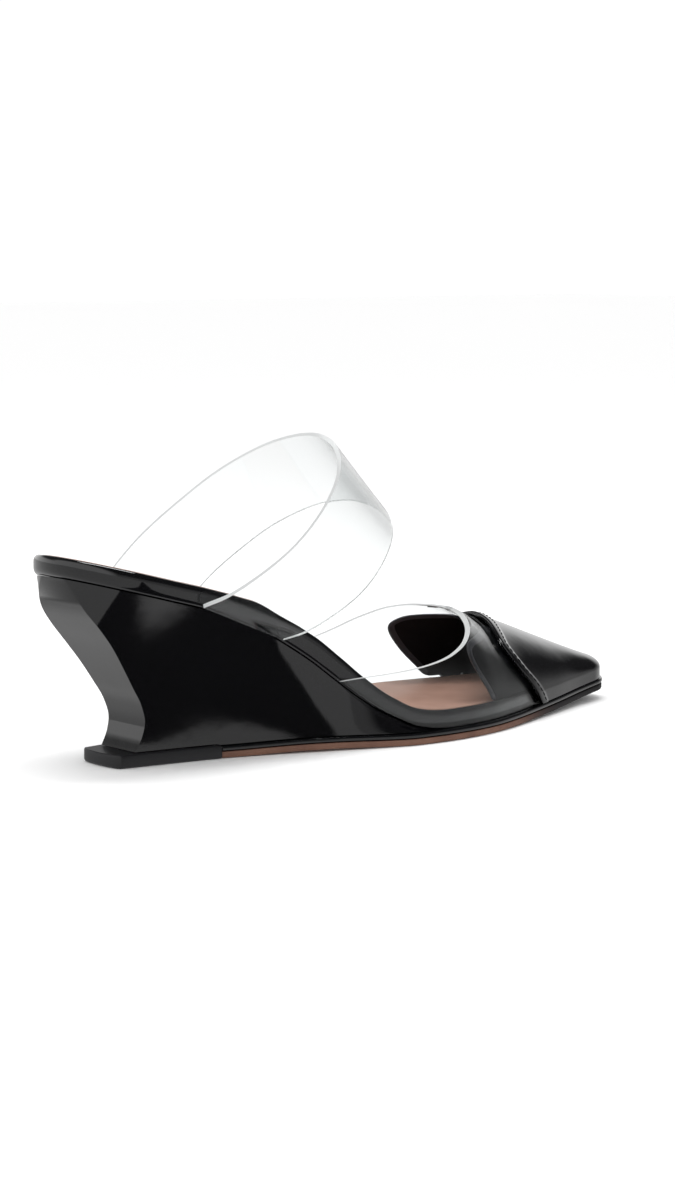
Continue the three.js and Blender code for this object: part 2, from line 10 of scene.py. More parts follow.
import bmesh
import bpy
import numpy as np
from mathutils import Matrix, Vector


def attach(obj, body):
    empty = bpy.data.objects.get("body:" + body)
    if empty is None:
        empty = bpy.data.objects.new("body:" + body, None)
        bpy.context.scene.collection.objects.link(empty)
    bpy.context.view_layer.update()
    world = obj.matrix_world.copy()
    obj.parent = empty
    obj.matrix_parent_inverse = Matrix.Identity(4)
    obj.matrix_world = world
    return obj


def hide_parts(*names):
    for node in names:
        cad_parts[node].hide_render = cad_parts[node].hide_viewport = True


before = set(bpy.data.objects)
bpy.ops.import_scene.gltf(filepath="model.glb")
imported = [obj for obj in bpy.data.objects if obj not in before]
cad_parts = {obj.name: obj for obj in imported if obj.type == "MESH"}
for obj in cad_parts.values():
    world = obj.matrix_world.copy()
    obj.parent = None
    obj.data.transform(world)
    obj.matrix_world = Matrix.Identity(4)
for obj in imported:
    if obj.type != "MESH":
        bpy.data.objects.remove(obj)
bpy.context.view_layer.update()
MM = 0.001

# %% [markdown]
# ## The sizes of the shoe
# A shoe is designed from a side view and a plan view of its last. Both are short tables here: a place
# along the shoe, as a share of its length, and a width or a height there. A smooth curve that never
# swings past its rows joins them, so a change of one row moves the surface near that row only.

# %% Sizes and tables in millimetres
SHOE_LENGTH = 241.0
BALL_WIDTH = 72.0
HEEL_SEAT_WIDTH = 53.0
HEEL_BACK = -40.0
TOE_TIP = HEEL_BACK + SHOE_LENGTH
WEDGE_HEIGHT = 57.8
RIDGE_HEIGHT = 33.1
FIT_GAP = 0.3
OUTSOLE = 2.0
WELT = 1.6
LIFT = 4.2
BOARD = 6.2
INSOLE = 1.2
VINYL = 1.5
LINING_WALL = 0.8
FLANK_SHARE = 0.55
NOSE_LENGTH = 4.5
NOSE_DROP = 0.45
CAP_OVERLAP_END = 0.8
LINING_OUTER = -VINYL - FIT_GAP
CAP_OUTER = FIT_GAP + 1.2
TOE_SPRING = 4.0
WAIST_ARCH = 0.6
INSOLE_RECESS = 1.3
LIFT_BACK = 22.0
LIFT_PROUD = 0.8
LIFT_CLEARANCE = 0.6
WAIST_START = 16.0
HEEL_FOOT_WIDTH = 19.0
WEDGE_INSET = 1.0
WEDGE_FRONT_HEIGHT = 0.7
HEEL_FLARE = 2.6
WAIST_FLARE = 1.2
HEEL_ROUND = 24.0
BOARD_TIP_ROUND = 7.0
SOLE_TIP_ROUND = 9.0
LIFT_CORNER_ROUND = 1.4
CUT_SQUARE = 0.01
CUT_HALF_WIDTH = BALL_WIDTH / 2 + 3
WALL_STACK = FIT_GAP + VINYL
SOLE_PROUD = 1.9


def smooth_curve(rows):
    """A curve through (place, value) rows that never swings past them, for one number or many at once."""
    place = np.array([row[0] for row in rows], float)
    value = np.array([row[1] for row in rows], float)
    span = np.diff(place)
    rise = np.diff(value)
    step = rise / span
    slope = np.zeros(len(place))
    slope[0] = step[0]
    slope[-1] = step[-1]
    for i in range(1, len(place) - 1):
        before, after = step[i - 1], step[i]
        slope[i] = 0 if before * after <= 0 else 2 * before * after / (before + after)

    def at(where):
        p = np.clip(where, place[0], place[-1])
        i = np.clip(np.searchsorted(place, p, side="left") - 1, 0, len(place) - 2)
        t = (p - place[i]) / span[i]
        bend = slope[i] * span[i] * t * (1 - t) ** 2 - slope[i + 1] * span[i] * t * t * (1 - t)
        return value[i] + rise[i] * t * t * (3 - 2 * t) + bend

    return at


def smoothstep(x, low, high):
    t = np.clip((x - low) / (high - low), 0, 1)
    return t * t * (3 - 2 * t)


def share_at(x):
    return (x - HEEL_BACK) / SHOE_LENGTH


def place_at(share):
    return HEEL_BACK + share * SHOE_LENGTH


BOARD_LATERAL = smooth_curve([
    (0, .354), (.082, .366), (.164, .372), (.246, .366), (.303, .366), (.361, .375), (.41, .4),
    (.459, .439), (.508, .467), (.557, .475), (.607, .464), (.656, .433), (.713, .372), (.779, .286),
    (.844, .203), (.91, .117), (1, .02),
])
BOARD_MEDIAL = smooth_curve([
    (0, .354), (.082, .362), (.164, .362), (.246, .338), (.303, .32), (.361, .314), (.41, .328),
    (.459, .361), (.508, .397), (.557, .422), (.607, .433), (.656, .425), (.713, .389), (.779, .325),
    (.844, .253), (.91, .178), (1, .1),
])
WAIST_LATERAL = smooth_curve([
    (.08, .132), (.213, .196), (.27, .25), (.32, .306), (.369, .367), (.418, .425), (.467, .483),
    (.508, .517), (.557, .526),
])
WAIST_MEDIAL = smooth_curve([
    (.08, .132), (.213, .184), (.27, .208), (.32, .233), (.369, .271), (.418, .328), (.467, .394),
    (.508, .444), (.557, .474),
])
WEDGE_SHARE = smooth_curve([
    (0, 1), (.057, .933), (.117, .865), (.176, .799), (.246, .704), (.291, .595), (.35, .438),
    (.389, .317), (.426, .204), (.451, .138), (.475, .087), (.508, .031), (.541, .007), (.574, 0),
    (1, 0),
])
WEDGE_BACK = smooth_curve([
    (0, .38), (.075, .42), (.15, .458), (.22, .472), (.31, .447), (.41, .388), (.52, .318), (.63, .24),
    (.74, .153), (.83, .086), (.92, .045), (1, .022),
])
BOARD_DEPTH = smooth_curve([(0, 1), (.2, 1.05), (.35, 1.2), (.5, .92), (.7, .85), (1, .8)])
TOE_LIFT = smooth_curve([(0, 0), (.64, 0), (.75, .12), (.86, .42), (1, 1)])
RIDGE_SHARE = smooth_curve([
    (.385, 2.05), (.49, 1.76), (.59, 1.44), (.656, 1.22), (.69, 1.1), (.734, .945), (.807, .735),
    (.885, .49), (.959, .25), (.99, .155), (1, .12),
])
RIDGE_ACROSS = smooth_curve([
    (.385, .03), (.49, .045), (.59, .06), (.656, .08), (.69, .095), (.734, .105), (.807, .1),
    (.885, .085), (.959, .06), (.99, .045), (1, .042),
])
FULL_LATERAL = smooth_curve([
    (.385, 2.1), (.49, 2.1), (.59, 1.9), (.656, 1.75), (.69, 1.68), (.734, 1.62), (.807, 1.6),
    (.885, 1.6), (.959, 1.7), (.99, 1.8), (1, 1.8),
])
FULL_MEDIAL = smooth_curve([
    (.385, 2.1), (.49, 2.1), (.59, 2.1), (.656, 2.0), (.69, 1.95), (.734, 1.85), (.807, 1.75),
    (.885, 1.75), (.959, 1.75), (.99, 1.8), (1, 1.8),
])
TOPLINE_LATERAL = smooth_curve([
    (.36, .67), (.41, .7), (.45, .715), (.52, .75), (.574, .795), (.615, .85), (.656, .905), (.69, .95),
    (.72, .985), (.74, 1.02), (.755, 1.08), (.77, 1.2),
])
TOPLINE_MEDIAL = smooth_curve([
    (.36, .67), (.41, .73), (.45, .77), (.52, .84), (.574, .945), (.615, 1.07), (.656, 1.205),
    (.69, 1.25), (.72, 1.245), (.74, 1.205), (.755, 1.15), (.77, 1.2),
])
SEAM_SHARE = smooth_curve([
    (-.6, .8), (.12, .79), (.21, .782), (.4, .762), (.59, .741), (.8, .73), (.91, .742), (1, .76),
    (1.1, .775), (1.3, .785),
])
WING_LATERAL = [(.675, .1), (.655, .38), (.636, .6), (.63, .78), (.645, .88), (.69, .9), (.78, .92)]
WING_MEDIAL = [(.775, .1), (.73, .39), (.692, .64), (.664, .88), (.672, .99), (.7, 1.03), (.78, 1.04)]

# %% [markdown]
# ## Layers and outlines
# Underneath, a shoe is a stack: leather outsole, a thin lip, the wedge, the wrapped board and the
# insole. Each layer's height is a function of the place along the shoe, and each outline can be grown
# or shrunk all round.

# %% Heights and outlines


def sole_bottom(x):
    waist = np.clip((x - WAIST_START) / (place_at(.5) - WAIST_START), 0, 1)
    return TOE_SPRING * TOE_LIFT(share_at(x)) + WAIST_ARCH * np.sin(math.pi * waist) ** 2


def outsole_top(x):
    return sole_bottom(x) + OUTSOLE


def welt_bottom(x):
    return outsole_top(x) + FIT_GAP


def welt_top(x):
    return welt_bottom(x) + WELT


def board_bottom(x):
    return welt_top(x) + FIT_GAP + WEDGE_HEIGHT * WEDGE_SHARE(share_at(x))


def steepness(x):
    return np.hypot(1, (board_bottom(x + 1) - board_bottom(x - 1)) / 2)


def board_top(x):
    return board_bottom(x) + BOARD * BOARD_DEPTH(share_at(x)) * steepness(x)


def insole_seat(x):
    return board_top(x) - INSOLE_RECESS


def insole_bottom(x):
    return insole_seat(x) + FIT_GAP * steepness(x)


def insole_top(x):
    return insole_bottom(x) + INSOLE


def outline_of(lateral, medial, start, end, start_round, end_round):
    """Lateral and medial y of an outline that is grown all round by a distance."""
    def widths(x, grow):
        first = start - grow
        last = end + grow

        def rounding(distance, radius):
            share = np.clip(1 - distance / max(radius, CUT_SQUARE), 0, 1)
            return np.sqrt(1 - share * share)

        out = BALL_WIDTH * lateral(share_at(x)) + grow
        inn = BALL_WIDTH * medial(share_at(x)) + grow
        middle = (inn - out) / 2
        ends = rounding(x - first, start_round + grow) * rounding(last - x, end_round + grow)
        half = (inn + out) / 2 * ends
        return middle - half, middle + half

    return {"widths": widths, "start": start, "end": end}


def heel_scaled(curve):
    scale = HEEL_SEAT_WIDTH / (2 * BALL_WIDTH * .368)
    return lambda s: curve(s) * (scale + (1 - scale) * smoothstep(s, .2, .42))


def sole_half(waist, board):
    scale = HEEL_FOOT_WIDTH / (2 * BALL_WIDTH * .132)

    def half(s):
        behind = waist(s) * (scale + (1 - scale) * smoothstep(s, .08, .3))
        front = board(s) + (WALL_STACK + SOLE_PROUD) / BALL_WIDTH
        return behind + (front - behind) * smoothstep(s, .46, .557)

    return half


SOLE_LATERAL = sole_half(WAIST_LATERAL, BOARD_LATERAL)
SOLE_MEDIAL = sole_half(WAIST_MEDIAL, BOARD_MEDIAL)
BOARD_OUTLINE = outline_of(
    heel_scaled(BOARD_LATERAL), heel_scaled(BOARD_MEDIAL),
    HEEL_BACK, TOE_TIP - WALL_STACK - SOLE_PROUD, HEEL_ROUND, BOARD_TIP_ROUND,
)
SOLE_OUTLINE = outline_of(
    SOLE_LATERAL, SOLE_MEDIAL, WAIST_START, TOE_TIP, CUT_SQUARE, SOLE_TIP_ROUND,
)
LIFT_OUTLINE = outline_of(
    SOLE_LATERAL, SOLE_MEDIAL, -LIFT_BACK + LIFT_PROUD, WAIST_START, LIFT_CORNER_ROUND, CUT_SQUARE,
)

# %% [markdown]
# ## From rings to meshes
# A layer is lofted through rings that share one number of points, so its top and bottom close with
# clean strips from side to side. Faces are smooth, and edges sharper than an angle are marked sharp.

# %% Mesh helpers


MERGE_DISTANCE = 1e-6


def make_piece(name, points, faces, sharp=32, finishes=None):
    """A mesh object in metres from points in millimetres, with its doubles merged."""
    mesh = bpy.data.meshes.new(name)
    mesh.from_pydata((np.asarray(points, float) * MM).tolist(), [], faces)
    if finishes:
        mesh.polygons.foreach_set("material_index", finishes)
    tidy = bmesh.new()
    tidy.from_mesh(mesh)
    bmesh.ops.remove_doubles(tidy, verts=tidy.verts, dist=MERGE_DISTANCE)
    bmesh.ops.dissolve_degenerate(tidy, dist=1e-7, edges=tidy.edges)
    bmesh.ops.recalc_face_normals(tidy, faces=tidy.faces)
    tidy.to_mesh(mesh)
    tidy.free()
    mesh.polygons.foreach_set("use_smooth", [True] * len(mesh.polygons))
    mesh.set_sharp_from_angle(angle=math.radians(sharp))
    piece = bpy.data.objects.new(name, mesh)
    bpy.context.scene.collection.objects.link(piece)
    return piece


def banded_solid(name, rings, sharp=32):
    """A closed solid from rings that run up one side and back down the other."""
    levels = len(rings)
    count = len(rings[0])
    stations = count // 2 - 1
    points = np.concatenate(rings)
    faces = []
    for i in range(levels - 1):
        for j in range(count):
            after = (j + 1) % count
            a, b = i * count + j, i * count + after
            faces.append((a, b, b + count, a + count))
    top = (levels - 1) * count
    for j in range(stations):
        across = count - 1 - j
        faces.append((j, across, across - 1, j + 1))
        faces.append((top + j, top + j + 1, top + across - 1, top + across))
    return make_piece(name, points, faces, sharp)


def plate(name, outline, levels, stations=150, sharp=32):
    """A layer of the stack: one ring for each (grow, height) level."""
    rings = []
    for grow, height in levels:
        first, last = outline["start"] - grow, outline["end"] + grow
        x = first + (last - first) * (1 - np.cos(np.linspace(0, math.pi, stations + 1))) / 2
        lateral, medial = outline["widths"](x, grow)
        z = height(x)
        side = np.stack([x, lateral, z], 1)
        other = np.stack([x, medial, z], 1)
        rings.append(np.concatenate([side, other[::-1]]))
    return banded_solid(name, rings, sharp)


def shell(name, outer, inner, faces, sharp=40, cut_finish=None):
    """A wall between an outer and an inner surface of the same layout, closed round every open edge.
    cut_finish gives the finish of the rim face on the edge from point a to point b."""
    outer = np.asarray(outer, float)
    count = len(outer)
    uses = {}
    for face in faces:
        for a, b in zip(face, face[1:] + face[:1]):
            uses.setdefault(frozenset((a, b)), []).append((a, b))
    walls = [tuple(reversed([i + count for i in face])) for face in faces]
    edges = [pairs[0] for pairs in uses.values() if len(pairs) == 1]
    rims = [(b, a, a + count, b + count) for a, b in edges]
    finishes = [0] * (2 * len(faces)) + [cut_finish(a, b) if cut_finish else 0 for a, b in edges]
    every_face = [tuple(f) for f in faces] + walls + rims
    return make_piece(name, np.concatenate([outer, inner]), every_face, sharp, finishes=finishes)


def grid_faces(rows, columns, skip=()):
    return [
        [i * columns + j, i * columns + j + 1, (i + 1) * columns + j + 1, (i + 1) * columns + j]
        for i in range(rows - 1) if i not in skip for j in range(columns - 1)
    ]


# %% [markdown]
# ## Outsole, welt, heel lift, board and insole
# The outsole is cut from thin leather, so its edge is square with a hair of rounding. The welt is a
# rolled patent lip, and the wrapped board has a soft full edge, so they get more levels round their
# profile.

# %% The stack of layers


def between(low, high, share):
    return lambda x: low(x) + (high(x) - low(x)) * share


def layer_levels(low, high, profile):
    """Levels of a layer from (grow, share of its thickness) rows."""
    return [(grow, between(low, high, share)) for grow, share in profile]


OUTSOLE_PROFILE = [(-.5, 0), (-.15, .05), (0, .2), (0, .8), (-.08, .95), (-.2, 1)]
WELT_PROFILE = [
    (-.35, 0), (-.05, .08), (.16, .24), (.25, .45), (.2, .68), (.04, .87), (-.2, .97), (-.4, 1),
]
BOARD_PROFILE = [
    (-1.5, 0), (-.95, .02), (-.55, .07), (-.25, .14), (-.06, .23), (0, .34), (0, .6), (-.08, .72),
    (-.28, .82), (-.58, .9), (-.95, .96), (-1.35, .99), (-1.7, 1.0), (-2.05, .97),
]
INSOLE_PROFILE = [(-2.7, 0), (-2.5, .3), (-2.5, .62), (-2.62, .88), (-2.9, 1)]
outsole_levels = layer_levels(sole_bottom, outsole_top, OUTSOLE_PROFILE)
outsole = plate("leather_outsole", SOLE_OUTLINE, outsole_levels)
welt = plate("patent_welt", SOLE_OUTLINE, layer_levels(welt_bottom, welt_top, WELT_PROFILE), sharp=50)
lift_levels = [(.3, 0), (.62, .25), (.8, .7), (.8, 3.6), (.7, 3.95), (.45, LIFT)]
lift_rings = []
for grow, height in lift_levels:
    front = WAIST_START - LIFT_CLEARANCE
    first = -LIFT_BACK + LIFT_PROUD - grow
    x = first + (front - first) * (1 - np.cos(np.linspace(0, math.pi / 2, 40)))
    lateral, medial = LIFT_OUTLINE["widths"](x, grow)
    z = np.full(len(x), float(height))
    side = np.stack([x, lateral, z], 1)
    other = np.stack([x, medial, z], 1)
    lift_rings.append(np.concatenate([side, other[::-1]]))
lift = banded_solid("rubber_lift", lift_rings)
board_levels = layer_levels(board_bottom, board_top, BOARD_PROFILE) + [(-2.3, insole_seat)]
board = plate("patent_board_wrap", BOARD_OUTLINE, board_levels, sharp=60)
insole = plate("leather_insole", BOARD_OUTLINE, layer_levels(insole_bottom, insole_top, INSOLE_PROFILE))
print("layers:", [len(o.data.polygons) for o in (outsole, welt, lift, board, insole)])

# %% [markdown]
# ## The wedge
# The wedge's sides flare from the narrow sole up to the board, and its back is an S-curve cut straight
# across, which leaves a flat strip between two crisp arrises. Every level of the wedge starts where it
# meets that curve, so the arris is a real edge of the mesh that a small bevel can soften.

# %% Wedge with its S-curved back


def wedge_piece():
    levels = 46
    stations = 110
    height = board_bottom(HEEL_BACK)
    places = np.linspace(place_at(.4), place_at(.56), 161)
    room = board_bottom(places) - FIT_GAP * steepness(places) - welt_top(places) - FIT_GAP
    front = places[np.argmax(room < WEDGE_FRONT_HEIGHT)]

    def low(x):
        return np.where(x < WAIST_START - .01, LIFT, welt_top(x)) + FIT_GAP

    def high(x):
        return board_bottom(x) - FIT_GAP * steepness(x)

    rings = []
    for level in np.linspace(0, 1, levels + 1):
        back = HEEL_BACK + 10.0
        for _ in range(60):
            z = low(back) + (high(back) - low(back)) * level
            back = .5 * back + .5 * (HEEL_BACK + WEDGE_BACK(np.clip(z / height, 0, 1)) * height)
        x = back + (front - back) * np.linspace(0, 1, stations + 1) ** 1.25
        s = share_at(x)
        wide_lateral, wide_medial = BOARD_OUTLINE["widths"](x, -WEDGE_INSET)
        narrow_lateral = WEDGE_INSET - BALL_WIDTH * SOLE_LATERAL(s)
        narrow_medial = BALL_WIDTH * SOLE_MEDIAL(s) - WEDGE_INSET
        share = level ** (HEEL_FLARE + (WAIST_FLARE - HEEL_FLARE) * smoothstep(s, 0, .4))
        z = low(x) + (high(x) - low(x)) * level
        lateral = np.stack([x, narrow_lateral + (wide_lateral - narrow_lateral) * share, z], 1)
        medial = np.stack([x, narrow_medial + (wide_medial - narrow_medial) * share, z], 1)
        rings.append(np.concatenate([lateral, medial[::-1]]))
    piece = banded_solid("patent_wedge", rings, sharp=40)
    bevel = piece.modifiers.new("soft arris", "BEVEL")
    bevel.width = .45 * MM
    bevel.segments = 2
    bevel.limit_method = "ANGLE"
    bevel.angle_limit = math.radians(45)
    bevel.harden_normals = True
    return piece


wedge = wedge_piece()

# %% [markdown]
# ## The upper's form
# The vamp, the toe cap and the lining are all walls of one form that is grown or shrunk. Its section
# stands straight beside the board and then curves over to a ridge. A place on it is given by x and one
# number, from -1 at the foot through 0 at the shoulder to a quarter turn at the ridge.

# %% Sections of the upper


def section(x, grow):
    """The upper's section at x: both sides' y, its foot, shoulder and crest heights and its ridge's y."""
    lateral, medial = BOARD_OUTLINE["widths"](x, WALL_STACK + grow)
    s = share_at(x)
    foot = board_bottom(x)
    base = welt_top(x) + FIT_GAP
    shoulder = foot + BOARD * FLANK_SHARE
    near = np.clip((BOARD_OUTLINE["end"] + WALL_STACK + grow - x) / NOSE_LENGTH, 0, 1)
    drop = 1 - NOSE_DROP * (1 - np.sqrt(1 - (1 - near) ** 2))
    crest = np.maximum((RIDGE_HEIGHT * RIDGE_SHARE(s) + grow) * drop - (shoulder - base), .2)
    middle = np.clip(BALL_WIDTH * RIDGE_ACROSS(s), lateral + .02, medial - .02)
    return lateral, medial, foot, shoulder, crest, middle


def upper_point(x, turn, side, grow):
    """Points of the form: side -1 is lateral and +1 is medial."""
    x, turn = np.broadcast_arrays(np.asarray(x, float), np.asarray(turn, float))
    lateral, medial, foot, shoulder, crest, middle = section(x, grow)
    outer = lateral if side < 0 else medial
    full = (FULL_LATERAL if side < 0 else FULL_MEDIAL)(share_at(x))
    bent = np.clip(turn, 0, math.pi / 2)
    out = np.abs(np.cos(bent)) ** (2 / full)
    up = np.sin(bent) ** (2 / full)
    y = np.where(turn <= 0, outer, middle + (outer - middle) * out)
    z = np.where(turn <= 0, shoulder + turn * (shoulder - foot), shoulder + crest * up)
    return np.stack([x, y, z], -1)


def solve(function, low, high, rounds=44):
    """Where a function that rises from below zero crosses it, for arrays of brackets."""
    low = np.array(low, float)
    high = np.array(high, float)
    for _ in range(rounds):
        middle = (low + high) / 2
        above = function(middle) > 0
        high = np.where(above, middle, high)
        low = np.where(above, low, middle)
    return (low + high) / 2


def turn_at_height(x, z, side, grow):
    x = np.asarray(x, float)
    return solve(
        lambda t: upper_point(x, t, side, grow)[..., 2] - z,
        np.full(x.shape, -1.0), np.full(x.shape, math.pi / 2),
    )


# %% [markdown]
# ## The clear vamp
# The vamp's topline is a height for each side. Columns of points run from the foot up to that line, and
# in front of the throat they run right over the ridge. The columns crowd together at the throat and at
# the rear tip, where the edge turns quickly.

# %% Vamp


def topline_gap(x, turn, side, grow):
    p = upper_point(x, turn, side, grow)
    s = share_at(p[..., 0])
    across = (p[..., 1] + CUT_HALF_WIDTH) / (2 * CUT_HALF_WIDTH)
    line = RIDGE_HEIGHT * (TOPLINE_LATERAL(s) * (1 - across) + TOPLINE_MEDIAL(s) * across)
    return p[..., 2] - line


def vamp_surface(grow, rear, throat, front, rows, columns, ahead):
    behind = np.linspace(0, 1, columns)
    sides = {}
    for side in (-1, 1):
        x = rear[side] + (throat - rear[side]) * (1 - np.cos(math.pi * behind)) / 2
        x = np.concatenate([x[:-1], throat + (front - throat) * np.linspace(0, 1, ahead) ** 1.6])
        low, high = np.full(x.shape, -1.0), np.full(x.shape, math.pi / 2)
        top = solve(lambda t: topline_gap(x, t, side, grow), low, high)
        top = np.where(x >= throat - 1e-6, math.pi / 2, top)
        share = np.linspace(0, 1, rows)[:, None]
        sides[side] = upper_point(x[None, :], -1 + (top[None, :] + 1) * share, side, grow)
    return np.concatenate([sides[-1], sides[1][::-1]])


def vamp_piece():
    rows, columns, ahead = 30, 90, 22
    rear = {}
    for side in (-1, 1):
        rear[side] = float(solve(lambda x: topline_gap(x, np.array(-1.0), side, 0.0) * -1, 40.0, 90.0))
    throat = float(solve(lambda x: topline_gap(x, np.array(math.pi / 2), -1, 0.0) * -1, 110.0, 146.0))
    front = place_at(CAP_OVERLAP_END)
    outer = vamp_surface(0.0, rear, throat, front, rows, columns, ahead)
    inner = vamp_surface(-VINYL, rear, throat, front, rows, columns, ahead)
    wide = outer.shape[1]
    faces = grid_faces(2 * rows, wide, skip=[rows - 1])
    shared = {rows * wide + j: (rows - 1) * wide + j for j in range(columns - 1, wide)}
    faces = [[shared.get(k, k) for k in face] for face in faces]
    print("vamp from", {k: round(v, 1) for k, v in rear.items()}, "throat at", round(throat, 1))

    def cut_finish(a, b):
        """The foot's edge sits in the black groove, and every other edge is a clear cut."""
        return 1 if min(a, b) // wide and max(a, b) // wide < 2 * rows - 1 else 2

    return shell("clear_vamp", outer.reshape(-1, 3), inner.reshape(-1, 3), faces, cut_finish=cut_finish)


vamp = vamp_piece()

# %% [markdown]
# ## The toe cap
# The cap's rear edge is folded under and stitched, so it stands a little higher than the rest, with a
# rounded lip. Its profile is a short table: the distance from the seam and how far the face stands off
# the vamp.

# %% Toe cap with its folded edge
CAP_PROFILE = [
    (.3, .32), (.08, .55), (0, .9), (0, 1.5), (.08, 1.85), (.3, 2.1), (.7, 2.2), (1.6, 2.23),
    (2.5, 2.23), (3.2, 2.2), (3.8, 2.1), (4.3, 1.88), (4.7, 1.66), (5.1, 1.53), (5.7, 1.5),
]


def seam_gap(x, turn, side, grow):
    p = upper_point(x, turn, side, grow)
    return x - place_at(SEAM_SHARE(p[..., 2] / RIDGE_HEIGHT))


def seam_place(turn, side, grow):
    low, high = np.full(turn.shape, 118.0), np.full(turn.shape, 170.0)
    return solve(lambda x: seam_gap(x, turn, side, grow), low, high)


def cap_surface(turns, side, columns, wall):
    """Rows of the cap from the seam to the tip. wall picks the outer face or the plain inner one."""
    start = seam_place(turns, side, CAP_OUTER)
    stack = []
    for ahead, stand in CAP_PROFILE:
        grow = stand if wall == "outer" else FIT_GAP
        stack.append(upper_point(start + max(ahead, .3 if wall == "inner" else 0), turns, side, grow))
    last = CAP_PROFILE[-1][0]
    grow = CAP_OUTER if wall == "outer" else FIT_GAP
    end = BOARD_OUTLINE["end"] + WALL_STACK + grow - .01
    for t in np.linspace(0, 1, columns)[1:]:
        eased = np.sin(t * math.pi / 2) ** 1.15
        x = (start + last) + (end - start - last) * eased
        stack.append(upper_point(x, turns, side, grow))
    return np.stack(stack, 1)


def cap_piece():
    rows, columns = 30, 74
    turns = np.concatenate([np.linspace(-1, 0, 6)[:-1], (math.pi / 2) * np.linspace(0, 1, rows - 5)])
    surfaces = {}
    for wall in ("outer", "inner"):
        lateral = cap_surface(turns, -1, columns, wall)
        medial = cap_surface(turns, 1, columns, wall)
        surfaces[wall] = np.concatenate([lateral, medial[::-1][1:]])
    r, c = surfaces["outer"].shape[:2]
    return shell("patent_toe_cap", surfaces["outer"].reshape(-1, 3), surfaces["inner"].reshape(-1, 3),
                 grid_faces(r, c), sharp=60)


cap = cap_piece()

# %% [markdown]
# ## The toe lining and its folded rim
# Behind the cap a black lining reaches back under the clear vamp in two wings. Each wing is drawn
# between its lower and upper edges in side view. A folded rim about 1.6 mm wide follows the wing's
# edge.

# %% Lining


def wing_edge(rows, count=160):
    """A smooth line through a wing's rows, in millimetres of side view."""
    p = np.array([(place_at(a), RIDGE_HEIGHT * h) for a, h in rows])
    p = np.concatenate([[2 * p[0] - p[1]], p, [2 * p[-1] - p[-2]]])
    out = []
    spans = len(p) - 3
    for k in range(count + 1):
        u = min(k / count * spans, spans - 1e-9)
        i = int(u)
        t = u - i
        a, b, c, d = p[i:i + 4]
        out.append(.5 * ((2 * b) + (c - a) * t + (2 * a - 5 * b + 4 * c - d) * t * t
                         + (3 * b - a - 3 * c + d) * t ** 3))
    return np.array(out)


def wing_span(rows, x):
    """The lowest and highest side-view height of the wing at each x."""
    edge = wing_edge(rows)
    tip = int(np.argmin(edge[:, 0]))
    lower, upper = edge[:tip + 1][::-1], edge[tip:]
    low = np.where(x < lower[-1, 0], np.interp(x, lower[:, 0], lower[:, 1]), -99)
    high = np.interp(x, upper[:, 0], upper[:, 1])
    return low, high, edge[tip, 0]


def lining_surface(side, grow, x, rows, count):
    low, high, _ = wing_span(rows, x)
    foot = insole_top(x) + FIT_GAP
    bottom = turn_at_height(x, np.maximum(low, foot), side, grow)
    top = turn_at_height(x, high, side, grow)
    top = np.where(x > place_at(.775), math.pi / 2, np.maximum(top, bottom))
    share = np.linspace(0, 1, count)[:, None]
    return upper_point(x[None, :], bottom[None, :] + (top - bottom)[None, :] * share, side, grow)


def lining_piece(name, side, rows):
    count, columns = 22, 92
    tip = wing_span(rows, np.array([0.0]))[2]
    end = BOARD_OUTLINE["end"] - 1.4
    x = tip + .02 + (end - tip - .02) * (1 - np.cos(np.linspace(0, math.pi, columns))) / 2
    outer = lining_surface(side, LINING_OUTER, x, rows, count)
    inner = lining_surface(side, LINING_OUTER - LINING_WALL, x, rows, count)
    if side > 0:
        outer, inner = outer[::-1], inner[::-1]
    return shell(name, outer.reshape(-1, 3), inner.reshape(-1, 3), grid_faces(count, columns))


linings = [
    lining_piece("lining_lateral", -1, WING_LATERAL),
    lining_piece("lining_medial", 1, WING_MEDIAL),
]


def rim_piece(name, side, rows):
    """A thin folded strip that follows the wing's edge, from the insole round to the seam."""
    edge = wing_edge(rows, 120)
    keep = edge[:, 0] < place_at(.765)
    keep &= edge[:, 1] > insole_top(edge[:, 0]) + .6
    edge = edge[keep]
    along = np.gradient(edge, axis=0)
    along /= np.linalg.norm(along, axis=1)[:, None]
    inward = np.stack([along[:, 1], -along[:, 0]], 1)
    section_steps = [(0.0, -2.62), (-.12, -2.3), (-.12, -1.95), (.1, -1.72), (.5, -1.66), (1.1, -1.66),
                     (1.5, -1.72), (1.65, -1.82)]
    outer = []
    for inset, stand in section_steps:
        p = edge + inward * inset
        turn = turn_at_height(p[:, 0], p[:, 1], side, stand)
        outer.append(upper_point(p[:, 0], turn, side, stand))
    outer = np.stack(outer)
    inner = []
    for inset, stand in section_steps:
        p = edge + inward * max(inset, .05)
        turn = turn_at_height(p[:, 0], p[:, 1], side, -2.75)
        inner.append(upper_point(p[:, 0], turn, side, -2.75))
    inner = np.stack(inner)
    r, c = outer.shape[:2]
    return shell(name, outer.reshape(-1, 3), inner.reshape(-1, 3), grid_faces(r, c))


rims = [
    rim_piece("lining_rim_lateral", -1, WING_LATERAL),
    rim_piece("lining_rim_medial", 1, WING_MEDIAL),
]

# %% [markdown]
# ## The instep strap
# The strap is a flat strip of vinyl bent over the instep. Its rear and front edges are two leaning
# loops, and the band is drawn straight between them, which is how a strip that can't stretch lies.

# %% Strap
STRAP_WALL = 1.5
STRAP_HALF_WIDTH = 41
REAR_EDGE = {"foot": -1, "rise": 50, "lean": 72}
FRONT_EDGE = {"foot": 31, "rise": 40.5, "lean": 60}
LOOP = [(-.86, .08), (-1, .31), (-.94, .52), (-.68, .77), (-.24, .95), (.18, 1), (.56, .93), (.82, .76),
        (.92, .54), (.93, .31), (.8, .08)]


